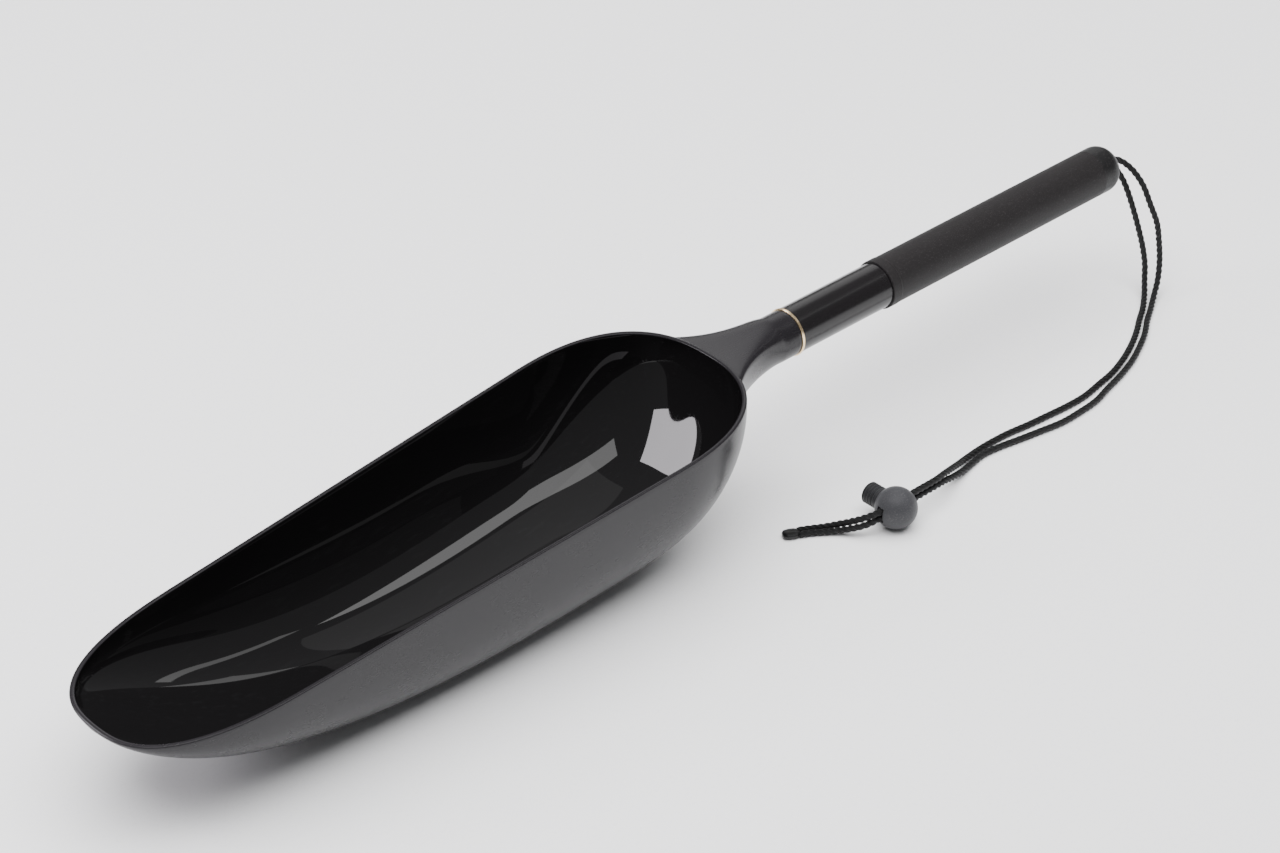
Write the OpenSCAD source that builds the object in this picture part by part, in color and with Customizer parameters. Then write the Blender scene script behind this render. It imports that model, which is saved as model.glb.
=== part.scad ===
// Long-handled hand scoop for loose material: a one-piece trough with a flared neck
// that screws on to a short handle, with a cord lanyard and a spring cord lock.
// Millimetres. +X runs from the scoop's lip to the handle's butt, +Z is up.
// The origin is on the ground under the middle of the scoop and handle together.

/* [Scoop] */
// Length of the trough from its lip to its back rim
scoop_length = 316; // [250:1:400]
// Width across the mouth that the straight sides would have at the lip
lip_width = 83; // [66:1:104]
// Width across the mouth that the straight sides would have at the back rim
back_width = 108; // [88:1:134]
// Depth of the trough below its rim at its deepest
bowl_depth = 61; // [48:1:76]
// Thickness of the trough's wall
wall = 2; // [1.5:0.1:3]
// Height of the outside of the lip below its rim
lip_thickness = 1.5; // [1:0.1:3]
// How far the lip lies below the back rim
lip_drop = 24.5; // [0:0.5:40]
// Height of the back rim above the handle's centre line
back_rise = 11; // [10.6:0.1:13]
// Distance from the lip to where the floor stops falling
deep_at = 230; // [180:1:240]
// Length over which the front corners round off
lip_round = 70; // [50:1:90]
// Length over which the back corners round off
back_round = 64; // [45:1:80]

/* [Neck] */
// Distance from the back rim to the end of the neck's socket
neck_length = 45.5; // [38:0.5:60]
// Length of the plain round socket at the end of the neck
socket_length = 10; // [6:0.5:14]
// How far the neck's wings reach forward along the trough's flanks
wing_reach = 22; // [12:1:28]

/* [Thread] */
// Outside diameter of the joining thread
thread_d = 9.52; // [7:0.01:12]
// Pitch of the joining thread
thread_pitch = 1.27; // [1:0.01:1.75]
// Number of turns that the thread is engaged
thread_turns = 11; // [8:1:13]
// Depth of the thread form
thread_depth = 0.8; // [0.5:0.05:1]
// Radial clearance of the stud in the insert and in the ring
thread_clearance = 0.06; // [0.03:0.01:0.1]
// Diameter of the stud's root that is moulded into the neck
root_d = 10.5; // [9.8:0.1:13]
// Depth to which the stud is moulded into the neck
root_length = 15; // [10:0.5:20]

/* [Handle] */
// Outside diameter of the handle's tube
tube_d = 21; // [17:0.1:24]
// Wall of the handle's tube
tube_wall = 1.5; // [1:0.1:2.2]
// Length of the whole handle from its front face to its butt
handle_length = 207; // [165:1:260]
// Length of tube left bare in front of the grip
bare_length = 54; // [30:1:80]
// Thickness of the grip sleeve
grip_wall = 0.6; // [0.5:0.1:2.5]
// Thickness of the raised band at the front of the grip sleeve
grip_band = 0.2; // [0.2:0.05:1]
// Length of the raised band at the front of the grip sleeve
grip_band_length = 5; // [3:0.5:12]
// Length of the threaded insert
insert_length = 20; // [16:0.5:30]
// Thickness of the trim ring
ring_thickness = 1.3; // [1:0.1:3]
// How far the trim ring stands proud of the tube
ring_proud = 0.5; // [0.2:0.1:1.5]
// Gap on each side of the trim ring when the handle is screwed home
seat_gap = 0.05; // [0.02:0.01:0.1]

/* [Butt cap] */
// Length of the cap's domed head
cap_head = 14; // [10:0.5:20]
// Length of the cap's plug inside the tube
cap_plug = 16; // [12:0.5:24]
// Radius of the cap's rounded edge
cap_round = 8; // [5:0.5:9]
// Gap all round the two strands where they leave the cap
cord_hole_gap = 0.45; // [0.4:0.05:0.7]
// Thickness of the cap's end that the knot pulls against
cap_end = 6; // [4:0.5:8]
// Diameter of the pocket that holds the knot
knot_pocket_d = 11; // [10.5:0.1:13]

/* [Lanyard] */
// Diameter of the lanyard's cord
cord_d = 3; // [2.6:0.1:3.2]
// Gap between the two strands where they leave the cap
exit_gap = 0.5; // [0.3:0.1:0.6]
// Width of the knot
knot_d = 10; // [9:0.1:10.4]
// Length of the knot
knot_length = 9; // [7:0.5:9.5]
// Length of the melted end that joins the strands
seal_length = 7; // [4:0.5:10]

/* [Cord lock] */
// Diameter of the lock's round body
lock_d = 18.5; // [18:0.1:22]
// Gap between the two strands inside the lock
lock_strand_gap = 0.3; // [0.2:0.1:0.5]
// Gap all round the strands inside the lock
lock_cord_gap = 0.35; // [0.3:0.05:0.5]
// Diameter of the push button
button_d = 9.9; // [9:0.1:10.5]
// Radial clearance of the push button
button_clearance = 0.1; // [0.05:0.01:0.1]
// How far the push button's end stands from the body's centre
button_reach = 16; // [15:0.5:18]
// Travel of the push button
button_travel = 4; // [3:0.1:4]
// Distance of the strands from the body's centre towards the button
strand_offset = 1; // [0.8:0.1:1.2]
// Wire diameter of the return spring
wire_d = 0.5; // [0.4:0.05:0.6]
// Diameter of the return spring at the middle of its wire
coil_d = 6; // [5:0.1:7]

/* [Hidden] */

// Colours of the finishes
moulded_black = [0.06, 0.055, 0.065];
gloss_black = [0.03, 0.03, 0.03];
grip_black = [0.13, 0.12, 0.12];
cap_black = [0.09, 0.09, 0.09];
gold = [0.86, 0.66, 0.34];
brass = [0.72, 0.58, 0.32];
steel = [0.62, 0.62, 0.64];
cord_black = [0.04, 0.04, 0.045];
lock_grey = [0.19, 0.19, 0.20];
button_grey = [0.26, 0.26, 0.27];

// Shape of the trough: powers of the curves that round its corners and its floor
lip_power = 2.65;
back_power = 2.4;
ramp_power = 2.85;
heel_power = 2.8;
heel_round = 1.4;
section_power = 2.8;
trough_stations = 38;
section_steps = 22;
cut_over = 6;
sliver = 0.15;
fine = 64;

// Places along the X axis, from the lip at the front to the butt at the back
total_length = scoop_length + neck_length + ring_thickness + 2*seat_gap + handle_length;
lip_x = -total_length/2;
rim_back_x = lip_x + scoop_length;
neck_end_x = rim_back_x + neck_length;
ring_x = neck_end_x + seat_gap;
handle_x = ring_x + ring_thickness + seat_gap;
butt_x = handle_x + handle_length;
cap_x = butt_x - cap_head;
grip_x = handle_x + bare_length;
knot_x = butt_x - cap_end;
exit_pitch = cord_d + exit_gap;
cord_hole_d = exit_pitch + cord_d + 2*cord_hole_gap;
lock_pitch = cord_d + lock_strand_gap;

tube_r = tube_d/2;
grip_r = tube_r + grip_wall;
bore_r = tube_r - tube_wall;
stud_r = thread_d/2;
thread_length = thread_turns*thread_pitch;

// Height of the rim's plane above the handle's centre line, x measured from the lip
function rim_height(x) = back_rise - lip_drop*(1 - x/scoop_length);

// Share of the full width that is left at a distance t from a rounded end
function corner(t, r, p) = t >= r ? 1 : pow(1 - pow(1 - max(t, 0)/r, p), 1/p);

// Half the mouth's width at x, for an outline drawn inset inside the outer one
function mouth_half(x, inset) =
    let (run = scoop_length - 2*inset, at = x - inset)
    ((lip_width + (back_width - lip_width)*at/run)/2 - inset)
    * corner(at, lip_round - inset, lip_power)
    * corner(run - at, back_round - inset, back_power);

// Depth of the outside of the floor below the rim at x
function ramp(x) = lip_thickness + (bowl_depth - lip_thickness)*(1 - pow(1 - x/deep_at, ramp_power));
function heel(x, inset) =
    (bowl_depth - inset)
    * pow(max(0, 1 - pow((x - deep_at)/(scoop_length - inset - deep_at), heel_power)), 1/heel_round);
function outer_depth(x) = x < deep_at ? ramp(x) : heel(x, 0);

// Depth of the inside of the floor, a wall's thickness in from the outside
function ramp_slope(x) =
    (bowl_depth - lip_thickness)*ramp_power/deep_at*pow(1 - x/deep_at, ramp_power - 1);
function inner_depth(x) =
    x < deep_at ? ramp(x) - wall*sqrt(1 + pow(ramp_slope(x), 2)) : heel(x, wall);

// Stations along the trough, closer together towards both ends
function stations(inset) =
    let (run = scoop_length - 2*inset)
    [for (i = [0:trough_stations])
        inset + min(run - sliver, max(sliver, run*(1 - cos(180*i/trough_stations))/2))];

// The ground is as far below the handle's centre line as the lowest of the floor
axis_z = max([for (x = stations(0)) outer_depth(x) - rim_height(x)]);

function signed_power(v, p) = sign(v)*pow(abs(v), p);

// One upright section of the trough: a U whose sides run on straight up past the rim
function trough_section(x, half, depth) =
    let (top = axis_z + rim_height(x), s = 2/section_power)
    concat(
        [[lip_x + x, half, top + cut_over]],
        [for (i = [1:section_steps - 1])
            let (a = 180*i/section_steps)
            [lip_x + x, half*signed_power(cos(a), s), top - depth*signed_power(sin(a), s)]],
        [[lip_x + x, -half, top + cut_over]]);

// A closed solid through a row of sections that have the same number of points
module loft(rows) {
    count = len(rows[0]);
    last = len(rows) - 1;
    polyhedron(
        points = [for (row = rows) each row],
        faces = concat(
            [[for (i = [count - 1:-1:0]) i]],
            [[for (i = [0:count - 1]) last*count + i]],
            [for (k = [0:last - 1], i = [0:count - 1])
                let (j = (i + 1) % count)
                each [[k*count + i, (k + 1)*count + j, (k + 1)*count + i],
                      [k*count + i, k*count + j, (k + 1)*count + j]]]));
}

module trough_outside() {
    loft([for (x = stations(0)) trough_section(x, mouth_half(x, 0), outer_depth(x))]);
}

module trough_inside() {
    loft([for (x = stations(wall)) trough_section(x, mouth_half(x, wall), inner_depth(x))]);
}

// Everything above the rim's plane, so that the whole rim ends in one flat face
module above_rim() {
    slope = atan(lip_drop/scoop_length);
    translate([rim_back_x, 0, axis_z + back_rise])
        rotate([0, -slope, 0])
            translate([-scoop_length*1.2, -back_width, 0])
                cube([scoop_length*1.4, 2*back_width, 3*cut_over]);
}

// The neck: wings that leave the trough's flanks and close in to a round socket
neck_stations = 14;
neck_steps = 48;
wing_power = 2.2;
keel_power = 1.35;
dish_power = 0.8;
edge_power = 0.6;
square_power = 0.7;
squareness = 5;
wing_inset = 0.8;
wing_edge = 2.6;
keel_inset = 4;
dish = 1.6;
wing_x0 = scoop_length - wing_reach;
socket_x0 = scoop_length + neck_length - socket_length;
wing_half = mouth_half(wing_x0, 0) - wing_inset;
keel_depth = outer_depth(wing_x0) - rim_height(wing_x0) - keel_inset;

// f runs from 1 at the tips of the wings to 0 where the section is the socket's circle
function neck_section(x) =
    let (f = max(0, (socket_x0 - x)/(socket_x0 - wing_x0)),
         half = tube_r + (wing_half - tube_r)*pow(f, wing_power),
         top = tube_r + (back_rise - tube_r)*f - dish*sin(180*pow(f, dish_power)),
         edge = (top - wing_edge)*pow(f, edge_power),
         keel = tube_r + (keel_depth - tube_r)*pow(f, keel_power),
         s = 2/(2 + squareness*pow(f, square_power)))
    [for (i = [0:neck_steps - 1])
        let (a = 360*i/neck_steps,
             upper = sin(a) < 0,
             y = upper ? half*signed_power(cos(a), s) : half*cos(a),
             z = upper ? edge + (top - edge)*pow(-sin(a), s) : edge - (keel + edge)*sin(a))
        [lip_x + x, y, axis_z + z]];

module neck_flare() {
    loft(concat(
        [for (i = [0:neck_stations]) neck_section(wing_x0 + (socket_x0 - wing_x0)*i/neck_stations)],
        [neck_section(scoop_length + neck_length)]));
}

// A cylinder or a turned shape along +X that starts at x on the handle's centre line
module along_handle(x) {
    translate([x, 0, axis_z]) rotate([0, 90, 0]) children();
}

module scoop() {
    color(moulded_black)
        difference() {
            union() {
                trough_outside();
                neck_flare();
            }
            trough_inside();
            above_rim();
            along_handle(neck_end_x - root_length)
                cylinder(h = root_length + 1, r = root_d/2, $fn = fine);
        }
}

// The stud: a plain root in the neck and a ridged length that enters the insert
module thread_stud() {
    crest = stud_r;
    valley = stud_r - thread_depth;
    start = root_length + 2*seat_gap + ring_thickness;
    color(steel)
        along_handle(neck_end_x - root_length)
            rotate_extrude($fn = fine)
                polygon(concat(
                    [[0, 0], [root_d/2, 0], [root_d/2, root_length], [crest, root_length], [crest, start]],
                    [for (k = [0:thread_turns - 1])
                        each [[valley, start + (k + 0.5)*thread_pitch], [crest, start + (k + 1)*thread_pitch]]],
                    [[valley, start + thread_length + thread_depth], [0, start + thread_length + thread_depth]]));
}

module trim_ring() {
    outer_r = tube_r + ring_proud;
    edge = ring_thickness/4;
    inner_r = stud_r + thread_clearance;
    color(gold)
        along_handle(ring_x)
            rotate_extrude($fn = fine)
                polygon([[inner_r, 0], [outer_r - edge, 0], [outer_r, edge],
                         [outer_r, ring_thickness - edge], [outer_r - edge, ring_thickness],
                         [inner_r, ring_thickness]]);
}

module handle_tube() {
    color(gloss_black)
        along_handle(handle_x)
            difference() {
                cylinder(h = handle_length - cap_head, r = tube_r, $fn = fine);
                translate([0, 0, -1])
                    cylinder(h = handle_length - cap_head + 2, r = bore_r, $fn = fine);
            }
}

module threaded_insert() {
    lead_in = 0.6;
    hole_r = stud_r + thread_clearance;
    color(brass)
        along_handle(handle_x)
            rotate_extrude($fn = fine)
                polygon([[hole_r + lead_in, 0], [bore_r, 0], [bore_r, insert_length],
                         [hole_r, insert_length], [hole_r, lead_in]]);
}

module grip_sleeve() {
    length = handle_length - bare_length - cap_head;
    color(grip_black)
        along_handle(grip_x)
            rotate_extrude($fn = fine)
                polygon([[tube_r, 0], [grip_r, 0], [grip_r + grip_band, grip_band],
                         [grip_r + grip_band, grip_band_length], [grip_r, grip_band_length + 2*grip_band],
                         [grip_r, length], [tube_r, length]]);
}

// The cap: a plug in the tube, a domed head, a pocket for the knot and a hole for the cord
module butt_cap() {
    head_r = grip_r;
    round_steps = 10;
    dome = [for (i = [0:round_steps])
        let (a = 90*i/round_steps)
        [head_r - cap_round*(1 - cos(a)), cap_plug + cap_head - cap_round*(1 - sin(a))]];
    color(cap_black)
        along_handle(cap_x - cap_plug)
            rotate_extrude($fn = fine)
                polygon(concat(
                    [[knot_pocket_d/2, 0], [bore_r, 0], [bore_r, cap_plug], [head_r, cap_plug]],
                    dome,
                    [[cord_hole_d/2, cap_plug + cap_head], [cord_hole_d/2, cap_plug + cap_head - cap_end],
                     [knot_pocket_d/2, cap_plug + cap_head - cap_end]]));
}

module lanyard_knot() {
    shoulder = knot_length/4;
    face_r = cord_hole_d/2 - cord_hole_gap;
    color(cord_black)
        along_handle(knot_x - knot_length)
            rotate_extrude($fn = fine)
                polygon([[0, 0], [face_r, 0], [knot_d/2, shoulder], [knot_d/2, knot_length - shoulder],
                         [face_r, knot_length], [0, knot_length]]);
}

// The lanyard's strands. Points are [x from the butt, y, z above the ground], and the first
// ones hang from the handle, so their height is counted from its centre line.
cord_sides = 8;
lock_x = -215;
lock_y = -74;
lock_z = lock_d/2;
strand_y = lock_y + strand_offset;
strand_low = lock_z - lock_pitch/2;
strand_high = lock_z + lock_pitch/2;
seal_turn = 151;
seal_along = [cos(seal_turn), sin(seal_turn), 0];
seal_across = [-sin(seal_turn), cos(seal_turn), 0];
seal_at = [-250, -50.5, cord_d/2];
seal_gap = 0.2;
seal_side = seal_across*(cord_d + seal_gap)/2;
run_in = seal_along*5;
flat = cord_d/2;

strand_a_points = concat(
    [[-cap_end, 0, axis_z + exit_pitch/2], [1, 0, axis_z + exit_pitch/2], [6, -2, axis_z],
     [9, -7, axis_z - 4], [10, -13, axis_z - 10], [10, -18, axis_z - 18], [11, -22, axis_z - 27],
     [11, -24, axis_z - 36], [10, -26, axis_z - 45]],
    [[6, -29, 7.5], [-1, -33, 3], [-9, -38, flat], [-17, -43, flat], [-27, -50, flat],
     [-38, -56, flat], [-49, -61, flat], [-61, -65, flat], [-73, -68, flat], [-84, -71, flat],
     [-96, -72, flat], [-108, -72, flat], [-120, -70, flat], [-131, -68, flat], [-141, -66, flat],
     [-151, -65, flat], [-160, -66.5, 1.7], [-168, -68.5, 2.6], [-176, -70.5, 4.5],
     [-183, -72, 6.5], [-190, strand_y, strand_low], [-200, strand_y, strand_low],
     [-215, strand_y, strand_low], [-225, strand_y, strand_low]],
    [[-230, -71, 6.2], [-233.5, -67, 4.2], [-237, -62.5, 2.5], [-241, -58.5, 1.7]],
    [seal_at + seal_side - run_in, seal_at + seal_side]);

strand_b_points = concat(
    [[-cap_end, 0, axis_z - exit_pitch/2], [0.5, 0, axis_z - exit_pitch/2], [4, -1, axis_z - 4],
     [6, -4, axis_z - 9], [6, -8, axis_z - 15], [6, -12, axis_z - 23], [6, -15.5, axis_z - 31],
     [6, -18.5, axis_z - 39], [5.5, -21, axis_z - 47]],
    [[2.5, -24, 7], [-3, -29, 2.6], [-11, -35, flat], [-19, -40, flat], [-29, -46.6, flat],
     [-40, -52.6, flat], [-51, -57.4, flat], [-62, -61, flat], [-73, -63, flat], [-85, -65, flat],
     [-97, -65, flat], [-109, -64, flat], [-120, -63, flat], [-131, -61.5, flat],
     [-141, -61, flat], [-151, -61.2, flat], [-160, -62.8, 2.4], [-168, -65.8, 4.9],
     [-176, -69, 7.8], [-183, -71.5, 10], [-190, strand_y, strand_high],
     [-200, strand_y, strand_high], [-215, strand_y, strand_high], [-225, strand_y, strand_high]],
    [[-229.3, -69.7, 8.9], [-232, -65.3, 6.3], [-235, -60.5, 3.9], [-239.3, -56, 2.2]],
    [seal_at - seal_side - run_in, seal_at - seal_side]);

function unit(v) = v/norm(v);
function heading(path, i) =
    i == 0 ? unit(path[1] - path[0])
    : i == len(path) - 1 ? unit(path[i] - path[i - 1])
    : unit(unit(path[i] - path[i - 1]) + unit(path[i + 1] - path[i]));

// A ring of points round a path, square to its heading
function cord_ring(at, along) =
    let (side = unit(cross(along, abs(along[2]) > 0.9 ? [0, 1, 0] : [0, 0, 1])), up = cross(side, along))
    [for (k = [0:cord_sides - 1])
        let (a = 360*(k + 0.5)/cord_sides, r = cord_d/2)
        at + r*cos(a)*side + r*sin(a)*up];

module cord(path) {
    color(cord_black)
        translate([butt_x, 0, 0])
            loft([for (i = [0:len(path) - 1]) cord_ring(path[i], heading(path, i))]);
}

module lanyard_strand_a() {
    cord(strand_a_points);
}

module lanyard_strand_b() {
    cord(strand_b_points);
}

// The melted end: a flattened bead in line with the two strands
module cord_seal() {
    width = 2*cord_d + seal_gap;
    color(cord_black)
        translate([butt_x, 0, 0])
            translate(seal_at)
                rotate([0, 0, seal_turn])
                    translate([0, -width/2, -cord_d/2])
                        cube([seal_length, width, cord_d]);
}

// A shape drawn along +Z becomes one along +Y at the cord lock's centre
module at_lock() {
    translate([butt_x + lock_x, lock_y, lock_z]) rotate([-90, 0, 0]) children();
}

// A slot for the two strands, one above the other, that runs through the lock along X
module strand_slot(width, centre) {
    height = lock_pitch + cord_d + 2*lock_cord_gap;
    translate([0, 0, centre]) cube([2*lock_d, height, width], center = true);
}

spring_room = 5.6;
spring_play = 0.05;
button_floor = 1.4;
window_gap = 0.1;
lock_flat = 0.9;
button_r = button_d/2;
button_bottom = strand_offset - cord_d/2 - window_gap - button_floor;
bore_bottom = button_bottom - spring_room;

module lock_body() {
    color(lock_grey)
        at_lock()
            difference() {
                sphere(d = lock_d, $fn = fine);
                translate([0, 0, bore_bottom])
                    cylinder(h = lock_d, r = button_r + button_clearance, $fn = fine);
                strand_slot(cord_d + 2*lock_cord_gap, strand_offset);
                translate([0, 0, lock_d/2 - lock_flat])
                    cylinder(h = lock_d, r = lock_d/2, $fn = fine);
            }
}

// The push button: a plunger with a window for the strands and ribs round its head
module lock_button() {
    rib = 0.35;
    rib_pitch = 1.6;
    ribs = 4;
    head = button_reach - button_bottom;
    window = cord_d + 2*window_gap + button_travel;
    window_centre = button_bottom + button_floor + window/2;
    color(button_grey)
        at_lock()
            difference() {
                translate([0, 0, button_bottom])
                    rotate_extrude($fn = fine)
                        polygon(concat(
                            [[0, 0], [button_r, 0]],
                            [for (k = [ribs - 1:-1:0])
                                let (at = head - (k + 1)*rib_pitch)
                                each [[button_r, at], [button_r - rib, at + rib_pitch/4],
                                      [button_r - rib, at + rib_pitch/2], [button_r, at + rib_pitch*3/4]]],
                            [[button_r - rib, head], [0, head]]));
                strand_slot(window, window_centre);
            }
}

// The return spring: a round wire wound up the bore from its floor to the button
module lock_spring() {
    coils = 3.5;
    per_coil = 14;
    wire_sides = 6;
    rise = spring_room - 2*spring_play - wire_d;
    turns = coils*per_coil;
    color(steel)
        at_lock()
            translate([0, 0, bore_bottom + spring_play + wire_d/2])
                loft([for (i = [0:turns])
                    let (a = 360*i/per_coil)
                    [for (k = [0:wire_sides - 1])
                        let (b = 360*k/wire_sides, r = coil_d/2 + wire_d/2*cos(b))
                        [r*cos(a), r*sin(a), rise*i/turns + wire_d/2*sin(b)]]]);
}

scoop();
thread_stud();
trim_ring();
handle_tube();
threaded_insert();
grip_sleeve();
butt_cap();
lanyard_knot();
lanyard_strand_a();
lanyard_strand_b();
cord_seal();
lock_body();
lock_spring();
lock_button();
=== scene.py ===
# %% [markdown]
# # A long trough scoop with a screw-on handle and a cord lanyard
#
# This lesson dresses a finished CAD frame. The frame says where every part is and how it moves,
# so each cell below only adds shape where the CAD is a stand-in, and a finish where the CAD
# shape is already right. Everything is in metres, with +X from the scoop's lip to the handle's
# butt and +Z up, and the object stands on z = 0.

# %% Load the frame
import math

import bmesh
import bpy
import numpy as np
from mathutils import Matrix, Vector


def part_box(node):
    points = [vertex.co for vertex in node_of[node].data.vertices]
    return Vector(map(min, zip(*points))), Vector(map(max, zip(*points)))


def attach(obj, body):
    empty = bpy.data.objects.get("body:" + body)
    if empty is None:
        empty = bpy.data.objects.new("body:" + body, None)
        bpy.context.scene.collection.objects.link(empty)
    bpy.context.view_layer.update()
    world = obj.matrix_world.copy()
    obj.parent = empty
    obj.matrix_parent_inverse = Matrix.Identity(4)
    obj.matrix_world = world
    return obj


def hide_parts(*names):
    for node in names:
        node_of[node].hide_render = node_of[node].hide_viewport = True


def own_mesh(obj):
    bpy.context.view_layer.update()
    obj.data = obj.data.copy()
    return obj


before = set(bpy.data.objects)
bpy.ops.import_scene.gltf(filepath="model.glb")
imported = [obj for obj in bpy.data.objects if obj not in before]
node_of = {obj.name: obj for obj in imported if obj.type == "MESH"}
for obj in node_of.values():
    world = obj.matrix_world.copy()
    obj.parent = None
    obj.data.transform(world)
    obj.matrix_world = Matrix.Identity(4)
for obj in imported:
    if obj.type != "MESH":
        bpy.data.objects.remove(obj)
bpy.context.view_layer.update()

MM = 0.001


def box_mm(node):
    """A CAD node's lowest and highest corner in millimetres."""
    low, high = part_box(node)
    return np.array(low) / MM, np.array(high) / MM


lip_x = box_mm("scoop")[0][0]
neck_end_x = box_mm("scoop")[1][0]
butt_x = box_mm("butt_cap")[1][0]
tube_low, tube_high = box_mm("handle_tube")
axis_z = (tube_low[2] + tube_high[2]) / 2
tube_r = (tube_high[2] - tube_low[2]) / 2
print(f"lip {lip_x:.1f}, neck end {neck_end_x:.1f}, butt {butt_x:.1f}, axis height {axis_z:.1f} mm")

# %% [markdown]
# ## The camera
#
# A camera can be placed by hand until it looks right, or from a direction and a distance. The
# second way is used, because the direction then reads as two plain angles. A long lens far away
# keeps the trough's two edges nearly parallel, so the near end doesn't look swollen.

# %% Camera
CAMERA_AZIMUTH, CAMERA_ELEVATION, CAMERA_ROLL = -41.41, 34.21, -1.42
CAMERA_DISTANCE = 1.4015
CAMERA_TARGET = Vector((-0.01651, -0.00963, axis_z * MM))
LENS_MM = 95.6
NEAREST_SEEN, FARTHEST_SEEN = 0.05, 20


def look_from(azimuth, elevation):
    """The unit vector from the target to a viewer; azimuth 0 looks along +Y."""
    a, e = math.radians(azimuth), math.radians(elevation)
    return Vector((math.sin(a) * math.cos(e), -math.cos(a) * math.cos(e), math.sin(e)))


camera = bpy.data.objects.new("camera", bpy.data.cameras.new("camera"))
bpy.context.scene.collection.objects.link(camera)
camera.data.lens = LENS_MM
back = look_from(CAMERA_AZIMUTH, CAMERA_ELEVATION)
upright = (-back).to_track_quat("-Z", "Y").to_matrix()
turned = upright @ Matrix.Rotation(math.radians(CAMERA_ROLL), 3, "Z")
camera.rotation_euler = turned.to_euler()
camera.location = CAMERA_TARGET + back * CAMERA_DISTANCE
camera.data.clip_start, camera.data.clip_end = NEAREST_SEEN, FARTHEST_SEEN
bpy.context.scene.camera = camera
print("camera at", [round(v, 3) for v in camera.location])

# %% [markdown]
# ## Meshes from rows of points
#
# Every hand-made piece here is a grid: rows of points joined by four-sided faces. A grid bends
# smoothly and its faces stay even, which matters on gloss plastic, where a reflection shows
# every uneven face. The helpers below take rows in millimetres and make the object. Which way a
# sheet's faces look depends on the order of its rows, and flip turns them to look outwards.


# %% Mesh helpers
WELD_MM = 0.002
THINNEST_M = 1e-7
STEPS_PER_SPAN = 24


def grid_faces(rows, columns, start=0, closed=False):
    """Quads between neighbouring rows of points; closed joins the last column to the first."""
    faces = []
    for r in range(rows - 1):
        for c in range(columns if closed else columns - 1):
            d = (c + 1) % columns
            a, b = start + r * columns, start + (r + 1) * columns
            faces.append((a + c, a + d, b + d, b + c))
    return faces


class Sheets:
    """Collects grids of points, each with its material's number, and makes one object of them."""

    def __init__(self):
        self.points, self.faces, self.finish = [], [], []

    def add(self, rows, finish=0, closed=False, flip=False):
        rows = np.asarray(rows, float)
        start = sum(len(p) for p in self.points)
        faces = grid_faces(rows.shape[0], rows.shape[1], start, closed)
        self.faces += [f[::-1] for f in faces] if flip else faces
        self.finish += [finish] * len(faces)
        self.points.append(rows.reshape(-1, 3))

    def mirror(self):
        """Adds the same sheets again with +Y and -Y changed over."""
        points = np.concatenate(self.points)
        self.faces += [tuple(len(points) + i for i in f[::-1]) for f in self.faces]
        self.finish += self.finish
        self.points = [points, points * (1, -1, 1)]

    def make(self, name):
        """Welds the sheets where they touch, drops faces with no area, and links the object."""
        mesh = bpy.data.meshes.new(name)
        mesh.from_pydata((np.concatenate(self.points) * MM).tolist(), [], self.faces)
        mesh.polygons.foreach_set("material_index", self.finish)
        work = bmesh.new()
        work.from_mesh(mesh)
        bmesh.ops.remove_doubles(work, verts=work.verts, dist=WELD_MM * MM)
        bmesh.ops.dissolve_degenerate(work, edges=work.edges, dist=THINNEST_M)
        loose = [v for v in work.verts if not v.link_faces]
        bmesh.ops.delete(work, geom=loose, context="VERTS")
        for face in work.faces:
            face.smooth = True
        work.to_mesh(mesh)
        work.free()
        made = bpy.data.objects.new(name, mesh)
        bpy.context.scene.collection.objects.link(made)
        print(f"{name}: {len(mesh.vertices)} points, {len(mesh.polygons)} faces")
        return made


def smooth_route(points, spacing):
    """A Catmull-Rom curve through the points, as evenly spaced points, and its length."""
    p = np.asarray(points, float)
    p = np.vstack([2 * p[0] - p[1], p, 2 * p[-1] - p[-2]])
    t = np.linspace(0, 1, STEPS_PER_SPAN, endpoint=False)[:, None]
    dense = [
        0.5 * (2 * b + (c - a) * t + (2 * a - 5 * b + 4 * c - d) * t**2
               + (3 * b - a - 3 * c + d) * t**3)
        for a, b, c, d in zip(p, p[1:], p[2:], p[3:])
    ]
    dense = np.vstack(dense + [p[-2:-1]])
    along = np.concatenate([[0], np.cumsum(np.linalg.norm(np.diff(dense, axis=0), axis=1))])
    at = np.linspace(0, along[-1], int(round(along[-1] / spacing)) + 1)
    return np.stack([np.interp(at, along, dense[:, k]) for k in range(3)], 1), along[-1]


def frames_along(route):
    """Two directions across the route at each point, carried along it with no twist."""
    heading = np.gradient(route, axis=0)
    heading /= np.linalg.norm(heading, axis=1)[:, None]
    side = np.cross(heading[0], (0, 0, 1))
    sides = []
    for h in heading:
        side = side - h * (side @ h)
        side = side / np.linalg.norm(side)
        sides.append(side)
    sides = np.array(sides)
    return sides, np.cross(heading, sides)


# %% [markdown]
# ## The lanyard
#
# The lanyard is one 3 mm twisted nylon cord, doubled: both strands are knotted inside the butt
# cap, run through the cord lock, and are melted together at the end. A curve with a round bevel
# would make a plain hose. Instead each strand is a swept ring with three lobes that turn as it
# goes, which is what a three-strand twist looks like, and the lobes show in its outline too.
# The route follows the CAD cord: out of the cap, down under its own weight, then along the
# table in a loose curve to the lock. Both strands lie in sight all the way.

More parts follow.
